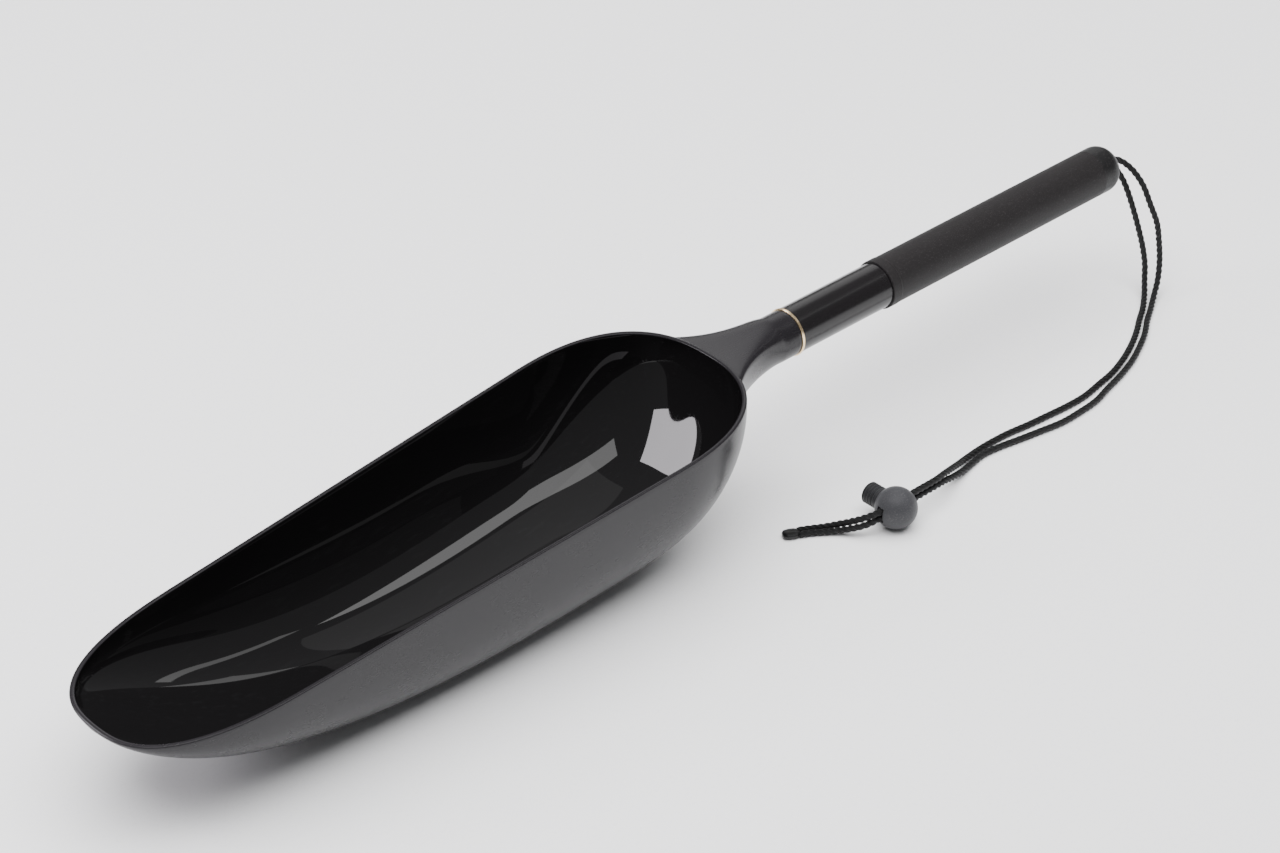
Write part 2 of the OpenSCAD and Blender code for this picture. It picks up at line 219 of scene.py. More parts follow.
# %% Cord routes, in millimetres from the butt, with the heights above the table
CORD_D, EXIT_PITCH, CAP_END = 3.0, 3.5, 6.0
LOCK_CENTRE = np.array([-215.0, -74.0, 9.25])
SLOT_OFFSET, SLOT_HALF_PITCH = 1, 1.65
STRAND_Y = LOCK_CENTRE[1] + SLOT_OFFSET
STRAND_LOW, STRAND_HIGH = LOCK_CENTRE[2] - SLOT_HALF_PITCH, LOCK_CENTRE[2] + SLOT_HALF_PITCH
SEAL_TURN = math.radians(151)
SEAL_ALONG = np.array([math.cos(SEAL_TURN), math.sin(SEAL_TURN), 0])
SEAL_ACROSS = np.array([-math.sin(SEAL_TURN), math.cos(SEAL_TURN), 0])
SEAL_AT = np.array([-250, -50.5, CORD_D / 2])
SEAL_HALF_PITCH, SEAL_STRAIGHT = 1.6, 5
SEAL_SIDE = SEAL_ACROSS * SEAL_HALF_PITCH
FLAT = CORD_D / 2

route_a = [
    (-CAP_END, 0, axis_z + EXIT_PITCH / 2), (1, 0, axis_z + EXIT_PITCH / 2), (6, -2, axis_z),
    (9, -7, axis_z - 4), (10, -13, axis_z - 10), (10, -18, axis_z - 18), (11, -22, axis_z - 27),
    (11, -24, axis_z - 36), (10, -26, axis_z - 45),
    (6, -29, 7.5), (-1, -33, 3), (-9, -38, FLAT), (-17, -43, FLAT), (-27, -50, FLAT),
    (-38, -56, FLAT), (-49, -61, FLAT), (-61, -65, FLAT), (-73, -68, FLAT), (-84, -71, FLAT),
    (-96, -72, FLAT), (-108, -72, FLAT), (-120, -70, FLAT), (-131, -68, FLAT), (-141, -66, FLAT),
    (-151, -65, FLAT), (-160, -66.5, 1.7), (-168, -68.5, 2.6), (-176, -70.5, 4.5),
    (-183, -72, 6.5), (-190, STRAND_Y, STRAND_LOW), (-200, STRAND_Y, STRAND_LOW),
    (-215, STRAND_Y, STRAND_LOW), (-225, STRAND_Y, STRAND_LOW),
    (-230, -71, 6.2), (-233.5, -67, 4.2), (-237, -62.5, 2.5), (-241, -58.5, 1.7),
    SEAL_AT + SEAL_SIDE - SEAL_STRAIGHT * SEAL_ALONG, SEAL_AT + SEAL_SIDE,
]
route_b = [
    (-CAP_END, 0, axis_z - EXIT_PITCH / 2), (0.5, 0, axis_z - EXIT_PITCH / 2), (4, -1, axis_z - 4),
    (6, -4, axis_z - 9), (6, -8, axis_z - 15), (6, -12, axis_z - 23), (6, -15.5, axis_z - 31),
    (6, -18.5, axis_z - 39), (5.5, -21, axis_z - 47),
    (2.5, -24, 7), (-3, -29, 2.6), (-11, -35, FLAT), (-19, -40, FLAT), (-29, -46.6, FLAT),
    (-40, -52.6, FLAT), (-51, -57.4, FLAT), (-62, -61, FLAT), (-73, -63, FLAT), (-85, -65, FLAT),
    (-97, -65, FLAT), (-109, -64, FLAT), (-120, -63, FLAT), (-131, -61.5, FLAT),
    (-141, -61, FLAT), (-151, -61.2, FLAT), (-160, -62.8, 2.4), (-168, -65.8, 4.9),
    (-176, -69, 7.8), (-183, -71.5, 10), (-190, STRAND_Y, STRAND_HIGH),
    (-200, STRAND_Y, STRAND_HIGH), (-215, STRAND_Y, STRAND_HIGH), (-225, STRAND_Y, STRAND_HIGH),
    (-229.3, -69.7, 8.9), (-232, -65.3, 6.3), (-235, -60.5, 3.9), (-239.3, -56, 2.2),
    SEAL_AT - SEAL_SIDE - SEAL_STRAIGHT * SEAL_ALONG, SEAL_AT - SEAL_SIDE,
]

# %% Sweep a three-lobed twist along each route
LAY_LENGTH, ROW_SPACING = 8.5, 0.55
ROPE_SIDES, LOBES = 24, 3
LOBE_RADIUS_SHARE, LOBE_OFFSET_SHARE = 0.56, 0.46


def lobed_ring(turn, radius):
    """Distances from the centre for a ring of three round strands laid against each other."""
    angle = np.linspace(0, 2 * np.pi, ROPE_SIDES, endpoint=False)
    strand_r, strand_at = LOBE_RADIUS_SHARE * radius, LOBE_OFFSET_SHARE * radius
    wrap = (angle - turn + np.pi / LOBES) % (2 * np.pi / LOBES) - np.pi / LOBES
    return angle, strand_at * np.cos(wrap) + np.sqrt(strand_r**2 - (strand_at * np.sin(wrap)) ** 2)


def rope(name, route, radius):
    """One twisted strand as a closed mesh, with a UV map that runs round it and along it."""
    centre, length = smooth_route(route, ROW_SPACING)
    centre[:, 2] = np.maximum(centre[:, 2], radius)
    side, up = frames_along(centre)
    done = length * np.arange(len(centre)) / (len(centre) - 1)
    rows = []
    for i, at in enumerate(centre):
        angle, reach = lobed_ring(2 * np.pi * done[i] / LAY_LENGTH, radius)
        sideways = side[i] * (np.cos(angle) * reach)[:, None]
        rows.append(at + (sideways + up[i] * (np.sin(angle) * reach)[:, None]))
    sheets = Sheets()
    sheets.add(rows, closed=True)
    side_corners, last = 4 * len(sheets.faces), (len(centre) - 1) * ROPE_SIDES
    # One many-sided face closes each end.
    sheets.faces += [tuple(range(ROPE_SIDES))[::-1], tuple(range(last, last + ROPE_SIDES))]
    sheets.finish += [0, 0]
    made = sheets.make(name)
    mesh = made.data
    around = np.tile(np.arange(ROPE_SIDES) / ROPE_SIDES, len(centre))
    along = np.repeat(done / LAY_LENGTH, ROPE_SIDES)
    layer = mesh.uv_layers.new(name="rope")
    corner_points = np.zeros(len(mesh.loops), int)
    mesh.loops.foreach_get("vertex_index", corner_points)
    u = around[corner_points]
    # A face across the seam would run backwards from nearly 1 to 0, so its zeros become ones.
    sides_u = u[:side_corners].reshape(-1, 4)
    sides_u[(np.ptp(sides_u, axis=1) > 0.5)[:, None] & (sides_u < 0.5)] += 1
    corners = np.stack([u, along[corner_points]], 1)
    layer.data.foreach_set("uv", corners.astype(np.float32).ravel())
    return made, centre, length


def from_butt(points):
    return [(butt_x + p[0], p[1], p[2]) for p in points]


strands = []
for name, route in (("lanyard_strand_a", route_a), ("lanyard_strand_b", route_b)):
    strand, centre, length = rope("rope_" + name[-1], from_butt(route), CORD_D / 2)
    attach(strand, "handle")
    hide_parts(name)
    strands.append((strand, centre, length))
    print(f"{strand.name}: {length:.0f} mm long")

# %% [markdown]
# The two strands end in one melted bead. Nylon that is melted with a flame draws back into a
# smooth drop, so a flattened round form with a wavy surface stands for it, in place of the
# CAD block.


# %% The melted end
BEAD_HALF, BEAD_POWER, BEAD_FORWARD = np.array([3.9, 3.05, 1.42]), 2.7, 3.0
SWELL_HEIGHT, SWELLS_X, SWELLS_Y, SWELL_SHIFT = 0.09, 1.9, 2.3, 0.6


def superform(centre, axes, half, power, rows=28, columns=40):
    """A rounded box or bead: a ball whose cross-sections are pulled towards a box."""
    points = []
    for r in range(rows + 1):
        v = math.pi * r / rows
        ring = []
        for c in range(columns):
            u = 2 * math.pi * c / columns
            d = np.array([math.cos(v), math.sin(v) * math.cos(u), math.sin(v) * math.sin(u)])
            d = np.sign(d) * np.abs(d) ** (2 / power)
            ring.append(centre + axes.T @ (d * half))
        points.append(ring)
    return np.array(points)


seal_axes = np.array([SEAL_ALONG, SEAL_ACROSS, (0, 0, 1)])
seal_centre = np.array([butt_x, 0, 0]) + SEAL_AT + SEAL_ALONG * BEAD_FORWARD
bead = superform(seal_centre, seal_axes, BEAD_HALF, BEAD_POWER)
swell = np.sin(bead[..., 0] * SWELLS_X) * np.sin(bead[..., 1] * SWELLS_Y + SWELL_SHIFT)
bead[..., 2] += SWELL_HEIGHT * swell * (bead[..., 2] > FLAT)
sheets = Sheets()
sheets.add(bead, closed=True, flip=True)
melted_end = sheets.make("melted_end")
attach(melted_end, "handle")
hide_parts("cord_seal")

# %% The cords are made
print("cords made")

# %% [markdown]
# ## The trough
#
# The trough is one thin moulding. Its outline is a long oval that is wider at the back, and
# each cross-section is a U with full corners. The floor falls from the lip in one curve and
# comes up again at the heel. The CAD has the same form, cut from flat facets, which gloss
# plastic would show. So it is drawn again from the same curves with many more points, and its
# rim gets the rounded edge that a moulding has.

# %% Curves of the trough, x in millimetres from the lip and heights from the handle's centre line
TROUGH, LIP_W, BACK_W, DEPTH, WALL = 316.0, 83.0, 108.0, 61.0, 2.0
LIP_THICK, LIP_DROP, BACK_RISE, DEEP_AT = 1.5, 24.5, 11.0, 230.0
LIP_ROUND, BACK_ROUND = 70.0, 64.0
LIP_POWER, BACK_POWER, RAMP_POWER = 2.65, 2.4, 2.85
HEEL_POWER, HEEL_ROUND, U_POWER = 2.8, 1.4, 2.8
RIM_RADIUS = 0.6
HALVINGS = 60


def rounded_end(t, reach, power):
    """Share of the full width left at a distance t from a rounded end."""
    s = np.clip(1 - np.clip(t, 0, None) / reach, 0, 1)
    return (1 - s**power) ** (1 / power)


def mouth_half(x, inset):
    """Half the width at x, of the outside for inset 0 and of the inside for the wall's inset."""
    run, at = TROUGH - 2 * inset, x - inset
    straight = (LIP_W + (BACK_W - LIP_W) * at / run) / 2 - inset
    return (
        straight
        * rounded_end(at, LIP_ROUND - inset, LIP_POWER)
        * rounded_end(run - at, BACK_ROUND - inset, BACK_POWER)
    )


def rim_height(x):
    return BACK_RISE - LIP_DROP * (1 - x / TROUGH)


def ramp(x):
    """Depth of the floor below the rim, from the lip to the deepest place."""
    return LIP_THICK + (DEPTH - LIP_THICK) * (1 - np.clip(1 - x / DEEP_AT, 0, 1) ** RAMP_POWER)


def ramp_slope(x):
    steepest = (DEPTH - LIP_THICK) * RAMP_POWER / DEEP_AT
    return steepest * np.clip(1 - x / DEEP_AT, 0, 1) ** (RAMP_POWER - 1)


def heel(x, inset):
    """Depth below the rim behind the deepest place, where the floor comes up again."""
    s = np.clip((x - DEEP_AT) / (TROUGH - inset - DEEP_AT), 0, 1)
    return (DEPTH - inset) * (1 - s**HEEL_POWER) ** (1 / HEEL_ROUND)


def outer_depth(x):
    return np.where(x < DEEP_AT, ramp(x), heel(x, 0))


def inner_depth(x):
    under_ramp = ramp(x) - WALL * np.sqrt(1 + ramp_slope(x) ** 2)
    return np.where(x < DEEP_AT, under_ramp, heel(x, WALL))


def crossing(curve, low, high, level):
    """Where a falling or rising curve passes a level, by halving."""
    rising = curve(high) > curve(low)
    for _ in range(HALVINGS):
        middle = (low + high) / 2
        if (curve(middle) > level) == rising:
            high = middle
        else:
            low = middle
    return (low + high) / 2


# %% Half of the trough, from the rim at +Y down to the keel
STATIONS, DOWN = 170, 46
ARC_STEPS = 300


def even_spacing(line, count):
    """The same line with evenly spaced points."""
    step = np.linalg.norm(np.diff(line, axis=0), axis=1)
    along = np.concatenate([[0], np.cumsum(step)])
    at = np.linspace(0, along[-1], count + 1)
    return np.stack([np.interp(at, along, line[:, k]) for k in range(line.shape[1])], 1)


def half_section(x, half, depth):
    """One U from just under the rim at +Y to the keel at y = 0."""
    start = math.asin(min(1.0, (RIM_RADIUS / depth)) ** (U_POWER / 2))
    a = np.linspace(start, math.pi / 2, ARC_STEPS)
    y = half * np.cos(a).clip(0) ** (2 / U_POWER)
    z = axis_z + rim_height(x) - depth * np.sin(a) ** (2 / U_POWER)
    return even_spacing(np.stack([np.full_like(y, lip_x + x), y, z], 1), DOWN)


def skin(inset, depth_at, first, last):
    """Half of one face of the trough, with its sections closer together towards both ends."""
    share = (1 - np.cos(np.linspace(0, np.pi, STATIONS + 1))) / 2
    rows = []
    for x in first + (last - first) * share:
        half, depth = float(mouth_half(x, inset)), float(depth_at(x))
        rows.append(half_section(x, half, max(depth, RIM_RADIUS)))
    return np.array(rows)


outer_last = crossing(lambda x: float(heel(x, 0)), DEEP_AT, TROUGH, RIM_RADIUS)
inner_last = crossing(lambda x: float(heel(x, WALL)), DEEP_AT, TROUGH - WALL, RIM_RADIUS)
LIP_SEARCH_END = 20.0
inner_first = crossing(lambda x: float(inner_depth(x)), WALL, LIP_SEARCH_END, RIM_RADIUS)
outer_skin = skin(0, outer_depth, 0.0, outer_last)
inner_skin = skin(WALL, inner_depth, inner_first, inner_last)

RIM_STEPS = 10
rim_rows = []
for k in range(RIM_STEPS + 1):
    turn = math.pi * k / RIM_STEPS
    blend = (1 - math.cos(turn)) / 2
    row = outer_skin[:, 0] * (1 - blend) + inner_skin[:, 0] * blend
    row[:, 2] += RIM_RADIUS * math.sin(turn)
    rim_rows.append(row)

OUTSIDE, INSIDE = 0, 1
trough = Sheets()
trough.add(outer_skin, OUTSIDE, flip=True)
trough.add(inner_skin, INSIDE)
trough.add(np.array(rim_rows), OUTSIDE, flip=True)
trough.mirror()
print("trough drawn:", outer_skin.shape, inner_skin.shape)

# %% [markdown]
# ## The neck
#
# Behind the trough the moulding closes in to a round socket: a flat, slightly dished web on
# top with a crease along each edge, and a full cone below. A boolean would leave a hard seam
# where the neck meets the trough. Instead the neck's points are pushed on to a blend of the two
# surfaces, so it flares on to the trough as a moulded fillet does, and its foot dips into the
# wall.

# %% Surfaces of the neck and of the trough's back
WING_REACH, SOCKET_LENGTH, WING_POWER, KEEL_POWER = 22.0, 10.0, 2.2, 1.35
DISH, DISH_POWER, WING_EDGE, EDGE_POWER = 1.6, 0.8, 2.6, 0.6
ROUND_POWER, CORNER_GAIN, CORNER_POWER = 2, 5, 0.7
WING_INSET, KEEL_RISE = 0.8, 4
SLOPE_STEP, WALL_HALVINGS, TINY = 0.02, 40, 1e-9
neck_end = neck_end_x - lip_x
wing_x0, socket_x0 = TROUGH - WING_REACH, neck_end - SOCKET_LENGTH
wing_half = float(mouth_half(wing_x0, 0)) - WING_INSET
keel_depth = float(outer_depth(wing_x0) - rim_height(wing_x0)) - KEEL_RISE


def neck_shape(x):
    """Half width, top, edge and keel of the neck, and the power of its upper corners, at x."""
    f = np.clip((socket_x0 - x) / (socket_x0 - wing_x0), 0, None)
    half = tube_r + (wing_half - tube_r) * f**WING_POWER
    dish = DISH * np.sin(np.pi * np.minimum(f, 1) ** DISH_POWER)
    top = tube_r + (BACK_RISE - tube_r) * f - dish
    edge = (top - WING_EDGE) * f**EDGE_POWER
    keel = tube_r + (keel_depth - tube_r) * f**KEEL_POWER
    return half, top, edge, keel, ROUND_POWER + CORNER_GAIN * f**CORNER_POWER


def neck_point(x, turn):
    """turn runs from 0 at the middle of the top, over the +Y edge, to 1 at the keel."""
    half, top, edge, keel, power = neck_shape(x)
    a = np.pi * (turn - 0.5)
    upper = turn < 0.5
    c, s = np.cos(a).clip(0), np.sin(a)
    y = np.where(upper, half * c ** (2 / power), half * c)
    z = np.where(upper, edge + (top - edge) * np.abs(s) ** (2 / power), edge - (keel + edge) * s)
    return y, z


def neck_distance(p):
    """Roughly how far points lie outside the neck, with the direction straight out of it."""

    def level(q):
        half, top, edge, keel, power = neck_shape(q[:, 0])
        y, z = np.abs(q[:, 1]) / half, q[:, 2] - edge
        above = (y**power + (np.maximum(z, 0) / (top - edge)) ** power) ** (1 / power)
        below = np.sqrt(y**2 + (np.minimum(z, 0) / (keel + edge)) ** 2)
        return np.where(z > 0, above, below) - 1

    return slope_distance(level, p)


def slope_distance(level, p):
    """A level's value over its slope, which is nearly the distance from where it is 0."""
    steps = np.eye(3) * SLOPE_STEP
    out = np.stack([(level(p + d) - level(p - d)) / (2 * SLOPE_STEP) for d in steps], 1)
    size = np.linalg.norm(out, axis=1)
    return level(p) / size, out / size[:, None]


def back_wall_x(y, z):
    """Where the trough's outer surface stands behind the heel, at a height z and a side y."""
    low, high = np.full(np.shape(y), DEEP_AT), np.full(np.shape(y), TROUGH - 1e-6)
    for _ in range(WALL_HALVINGS):
        x = (low + high) / 2
        half, depth = mouth_half(x, 0), np.maximum(heel(x, 0), TINY)
        down = np.maximum(rim_height(x) - z, 0)
        inside = (np.abs(y) / half) ** U_POWER + (down / depth) ** U_POWER < 1
        low, high = np.where(inside, x, low), np.where(inside, high, x)
    return (low + high) / 2


def wall_distance(p):
    """How far points lie behind the trough's back, with the direction straight out of it."""
    return slope_distance(lambda q: q[:, 0] - back_wall_x(q[:, 1], q[:, 2]), p)


# %% Lay the neck's rows, then push those near the trough on to the blend
AROUND, NECK_ROWS, SEARCH_STEPS = 56, 44, 1600
FILLET_SHARE, FILLET_LEAST, FILLET_MOST = 0.35, 0.7, 4.0
FOOT_SHARES = (0.86, 0.72, 0.58, 0.44, 0.3, 0.15)
BLEND_PASSES, BLEND_ZONE, BLEND_LEAST_SLOPE = 14, 9, 0.3
NECK_SPREAD, EMBED, CHAMFER = 1.35, 0.9, 0.4
turns = np.linspace(0, 1, AROUND + 1)
search = np.linspace(neck_end, wing_x0, SEARCH_STEPS)
grid_y, grid_z = neck_point(search[:, None], turns[None, :])
grid_half = mouth_half(search, 0)[:, None]
grid_depth = np.maximum(outer_depth(search), TINY)[:, None]
down = np.maximum(rim_height(search)[:, None] - grid_z, 0)
with np.errstate(divide="ignore", invalid="ignore"):
    inside = (grid_y / grid_half) ** U_POWER + (down / grid_depth) ** U_POWER < 1
inside &= (search < TROUGH)[:, None]
meet_x = search[np.argmax(inside, axis=0)]
meet_y, meet_z = neck_point(meet_x, turns)
meet = np.stack([meet_x, meet_y, meet_z], 1)
fillet = np.clip(FILLET_SHARE * (rim_height(meet_x) - meet_z), FILLET_LEAST, FILLET_MOST)


def on_blend(p, reach):
    """Moves points on to the two surfaces blended over the fillet's reach."""
    for _ in range(BLEND_PASSES):
        dn, out_n = neck_distance(p)
        dt, out_t = wall_distance(p)
        weight = np.clip(0.5 + 0.5 * (dt - dn) / reach, 0, 1)[:, None]
        gap = np.maximum(reach - np.abs(dn - dt), 0)
        value = np.minimum(dn, dt) - gap**2 / (4 * reach)
        out = out_n * weight + out_t * (1 - weight)
        p = p - out * (value / np.maximum((out**2).sum(1), BLEND_LEAST_SLOPE))[:, None]
        p[:, 1] = np.maximum(p[:, 1], 0)
    return p


_, meet_out_n = neck_distance(meet)
_, meet_out_t = wall_distance(meet)
away = meet_out_n - meet_out_t * (meet_out_n * meet_out_t).sum(1)[:, None]
away /= np.linalg.norm(away, axis=1)[:, None]
away[[0, -1], 1] = 0

neck_rows = []
for share in FOOT_SHARES:
    row = meet + away * (share * fillet)[:, None]
    below_rim = np.minimum(row[:, 2], rim_height(row[:, 0]) - RIM_RADIUS)
    row[:, 0] = back_wall_x(row[:, 1], below_rim)
    neck_rows.append(on_blend(row, fillet))
for k in range(NECK_ROWS + 1):
    x = meet_x + (neck_end - CHAMFER - meet_x) * (k / NECK_ROWS) ** NECK_SPREAD
    y, z = neck_point(x, turns)
    row = np.stack([x, y, z], 1)
    near = x < TROUGH + BLEND_ZONE
    if near.any():
        row[near] = on_blend(row[near], fillet[near])
    neck_rows.append(row)
embedded = neck_rows[0] - wall_distance(neck_rows[0])[1] * EMBED
embedded[:, 1] = np.maximum(embedded[:, 1], 0)
embedded[[0, -1], 1] = 0
neck_rows.insert(0, embedded)
print(f"neck meets the trough from x = {meet_x.min():.1f} to {meet_x.max():.1f} mm from the lip")

# %% Close the neck inside the trough's wall, and finish the socket's end
CLOSING_STEPS, CLOSING_LEAST_SLOPE = 12, 0.2
inner_rows = []
for k in range(CLOSING_STEPS + 1):
    row = embedded.copy()
    row[:, 1] *= k / CLOSING_STEPS
    slope = wall_distance(row)[1][:, 0]
    depth = EMBED / np.maximum(slope, CLOSING_LEAST_SLOPE)
    row[:, 0] = back_wall_x(row[:, 1], row[:, 2]) - depth
    inner_rows.append(row)
inner_rows[-1] = embedded

# How far each row lies before the neck's end, and its radius: the chamfer, the flat end, and
# the bore that holds the stud.
ROOT_R, ROOT_LENGTH, BORE_CHAMFER, SHOULDER = 5.25, 15.0, 0.3, 0.12
socket_profile = [
    (CHAMFER, tube_r), (SHOULDER, tube_r - SHOULDER), (0, tube_r - CHAMFER), (0, 8.5), (0, 7.0),
    (0, ROOT_R + BORE_CHAMFER), (BORE_CHAMFER, ROOT_R), (7, ROOT_R), (ROOT_LENGTH, ROOT_R),
    (ROOT_LENGTH, 0.0),
]
end_rows = []
angle = np.pi * (turns - 0.5)
for before, r in socket_profile:
    x = np.full(AROUND + 1, neck_end - before)
    end_rows.append(np.stack([x, r * np.cos(angle), -r * np.sin(angle)], 1))

neck = Sheets()
for rows in (inner_rows, neck_rows, end_rows):
    neck.add(np.array(rows) + (lip_x, 0, axis_z), OUTSIDE, flip=True)
neck.mirror()
trough_start = sum(len(p) for p in trough.points)
trough.faces += [tuple(trough_start + i for i in f) for f in neck.faces]
trough.finish += neck.finish
trough.points += neck.points
scoop = trough.make("scoop_moulding")
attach(scoop, "head")
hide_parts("scoop")

# %% [markdown]
# ## The hidden working parts
#
# Unscrew the head and a steel stud shows. The CAD gives it plain ridges, but a real thread is
# one ridge that winds along it, so the stud is drawn again with its radius following the
# winding: the distance along and the turn together say how high the ridge stands.

# %% The threaded stud
PITCH, THREAD_TURNS, THREAD_R, THREAD_DEPTH = 1.27, 11, 4.76, 0.8
FLANK, CREST = 1.25, 0.12
RUN_OUT, POINT_LENGTH, POINT_SLOPE, POINT_R = 0.9, 1.4, 0.5, THREAD_R - 1.3
ROOT_GAP, COLLAR = 0.02, 0.25
stud_low, stud_high = box_mm("thread_stud")
thread_from = stud_high[0] - THREAD_TURNS * PITCH - THREAD_DEPTH
STUD_SIDES, STEPS_PER_TURN = 56, 14
around = np.linspace(0, 2 * np.pi, STUD_SIDES, endpoint=False)


def turned_row(x, radius):
    """A ring round the handle's axis; the radius may change on the way round."""
    y, z = radius * np.cos(around), axis_z + radius * np.sin(around)
    return np.stack([np.full(STUD_SIDES, x), y, z], 1)


rows = [
    turned_row(stud_low[0], 0.0), turned_row(stud_low[0], ROOT_R - ROOT_GAP),
    turned_row(neck_end_x - COLLAR, ROOT_R - ROOT_GAP),
    turned_row(neck_end_x, ROOT_R - BORE_CHAMFER), turned_row(neck_end_x, THREAD_R),
]
thread_length = stud_high[0] - thread_from
for k in range(int(STEPS_PER_TURN * thread_length / PITCH) + 1):
    x = thread_from + PITCH * k / STEPS_PER_TURN
    phase = ((x - thread_from) / PITCH - around / (2 * np.pi)) % 1
    valley = np.clip((1 - np.abs(2 * phase - 1)) * FLANK - CREST, 0, 1)
    fade = min(1.0, (x - thread_from) / RUN_OUT)
    lead = POINT_SLOPE * max(0.0, x - stud_high[0] + POINT_LENGTH)
    rows.append(turned_row(x, THREAD_R - np.maximum(THREAD_DEPTH * valley * fade, lead)))
rows.append(turned_row(stud_high[0], POINT_R))
rows.append(turned_row(stud_high[0], 0.0))
sheets = Sheets()
sheets.add(np.array(rows), closed=True)
stud = sheets.make("threaded_stud")
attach(stud, "head")
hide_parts("thread_stud")

# %% [markdown]
# The spring in the cord lock and the stopper knot in the butt cap are out of sight at rest. A
# spring is a round wire on a helix. The real one gets shorter as the button goes in, but this one
# keeps its rest length. The knot is the same cord tied once, and the curve called a trefoil is
# exactly that knot.


# %% The spring and the knot
def round_tube(name, route, radius, sides=12):
    """A round wire along a route, closed to a point at both ends."""
    route = np.asarray(route, float)
    side, up = frames_along(route)
    a = np.linspace(0, 2 * np.pi, sides, endpoint=False)
    rows = [
        at + radius * (np.outer(np.cos(a), side[i]) + np.outer(np.sin(a), up[i]))
        for i, at in enumerate(route)
    ]
    rows = [np.repeat(route[:1], sides, 0)] + rows + [np.repeat(route[-1:], sides, 0)]
    sheets = Sheets()
    sheets.add(np.array(rows), closed=True)
    return sheets.make(name)


WIRE_R, COIL_R, COILS, WINDING_STEPS = 0.25, 3.0, 3.5, 150
spring_low, spring_high = box_mm("lock_spring")
lock_low, lock_high = box_mm("lock_body")
lock_x, lock_z = (lock_low[0] + lock_high[0]) / 2, (lock_low[2] + lock_high[2]) / 2
t = np.linspace(0, 1, WINDING_STEPS)
winding = np.stack([
    lock_x + COIL_R * np.cos(2 * np.pi * COILS * t),
    spring_low[1] + WIRE_R + (spring_high[1] - spring_low[1] - 2 * WIRE_R) * t,
    lock_z + COIL_R * np.sin(2 * np.pi * COILS * t),
], 1)
spring = round_tube("return_spring", winding, WIRE_R)
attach(spring, "lock")
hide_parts("lock_spring")
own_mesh(spring)

KNOT_HALF_LENGTH, KNOT_SPREAD, KNOT_CORD_R, KNOT_STEPS = 2.9, 1.2, 1.25, 160
knot_low, knot_high = box_mm("lanyard_knot")
knot_centre = (knot_low + knot_high) / 2
t = np.linspace(0, 2 * np.pi, KNOT_STEPS)
trefoil = knot_centre + np.stack([
    KNOT_HALF_LENGTH * np.sin(3 * t),
    KNOT_SPREAD * (np.sin(t) + 2 * np.sin(2 * t)),
    KNOT_SPREAD * (np.cos(t) - 2 * np.cos(2 * t)),
], 1)
knot = round_tube("stopper_knot", trefoil, KNOT_CORD_R)
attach(knot, "handle")
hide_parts("lanyard_knot")

# %% [markdown]
# ## Finishes
#
# Black plastic is hard to show: nearly all that is seen is what it mirrors. So each black
# finish here differs in three things only: how dark it is below the surface, how sharp its
# mirror image is, and what fine relief breaks that image up. Two effects come back in several
# finishes, so each is a node group of its own: a fine grain, and rubbed marks. Colours are
# linear values, and a scale counts features per metre.


# %% Node helpers and the shared groups
def node(tree, kind, at=(0, 0), **settings):
    made = tree.nodes.new(kind)
    made.location = at
    for key, value in settings.items():
        setattr(made, key, value)
    return made


def new_group(name, inputs, outputs):
    tree = bpy.data.node_groups.new(name, "ShaderNodeTree")
    for label, value in inputs:
        socket = tree.interface.new_socket(label, in_out="INPUT", socket_type="NodeSocketFloat")
        socket.default_value = value
    for label, kind in outputs:
        tree.interface.new_socket(label, in_out="OUTPUT", socket_type=kind)
    return tree, node(tree, "NodeGroupInput", (-900, 0)), node(tree, "NodeGroupOutput", (500, 0))


def maths(tree, operation, a, b, at=(0, 0)):
    """A Math node fed by sockets or plain numbers."""
    made = node(tree, "ShaderNodeMath", at, operation=operation)
    for slot_number, value in enumerate((a, b)):
        if isinstance(value, (int, float)):
            made.inputs[slot_number].default_value = value
        else:
            tree.links.new(value, made.inputs[slot_number])
    return made.outputs[0]


def stretch(tree, value, low, high, to_low=0.0, to_high=1.0, at=(0, 0)):
    """Maps the range from low to high on to another range, and holds its ends."""
    made = node(tree, "ShaderNodeMapRange", at)
    made.inputs["From Min"].default_value, made.inputs["From Max"].default_value = low, high
    made.inputs["To Min"].default_value, made.inputs["To Max"].default_value = to_low, to_high
    tree.links.new(value, made.inputs["Value"])
    return made.outputs["Result"]


grain, ins, outs = new_group("fine_grain", [("Scale", 900.0), ("Pits", 0.4)],
                             [("Height", "NodeSocketFloat"), ("Speckle", "NodeSocketFloat")])
where = node(grain, "ShaderNodeTexCoord", (-900, -250))
soft = node(grain, "ShaderNodeTexNoise", (-500, 150))
soft.inputs["Detail"].default_value = 3.0
cells = node(grain, "ShaderNodeTexVoronoi", (-500, -200), feature="SMOOTH_F1")
cells.inputs["Smoothness"].default_value = 0.4
for texture in (soft, cells):
    grain.links.new(where.outputs["Object"], texture.inputs["Vector"])
    grain.links.new(ins.outputs["Scale"], texture.inputs["Scale"])
pitted = maths(grain, "MULTIPLY", cells.outputs["Distance"], ins.outputs["Pits"], (-250, -150))
grain.links.new(maths(grain, "ADD", soft.outputs["Fac"], pitted, (0, 0)), outs.inputs["Height"])
specks = stretch(grain, soft.outputs["Fac"], 0.56, 0.72, at=(0, 200))
grain.links.new(specks, outs.inputs["Speckle"])

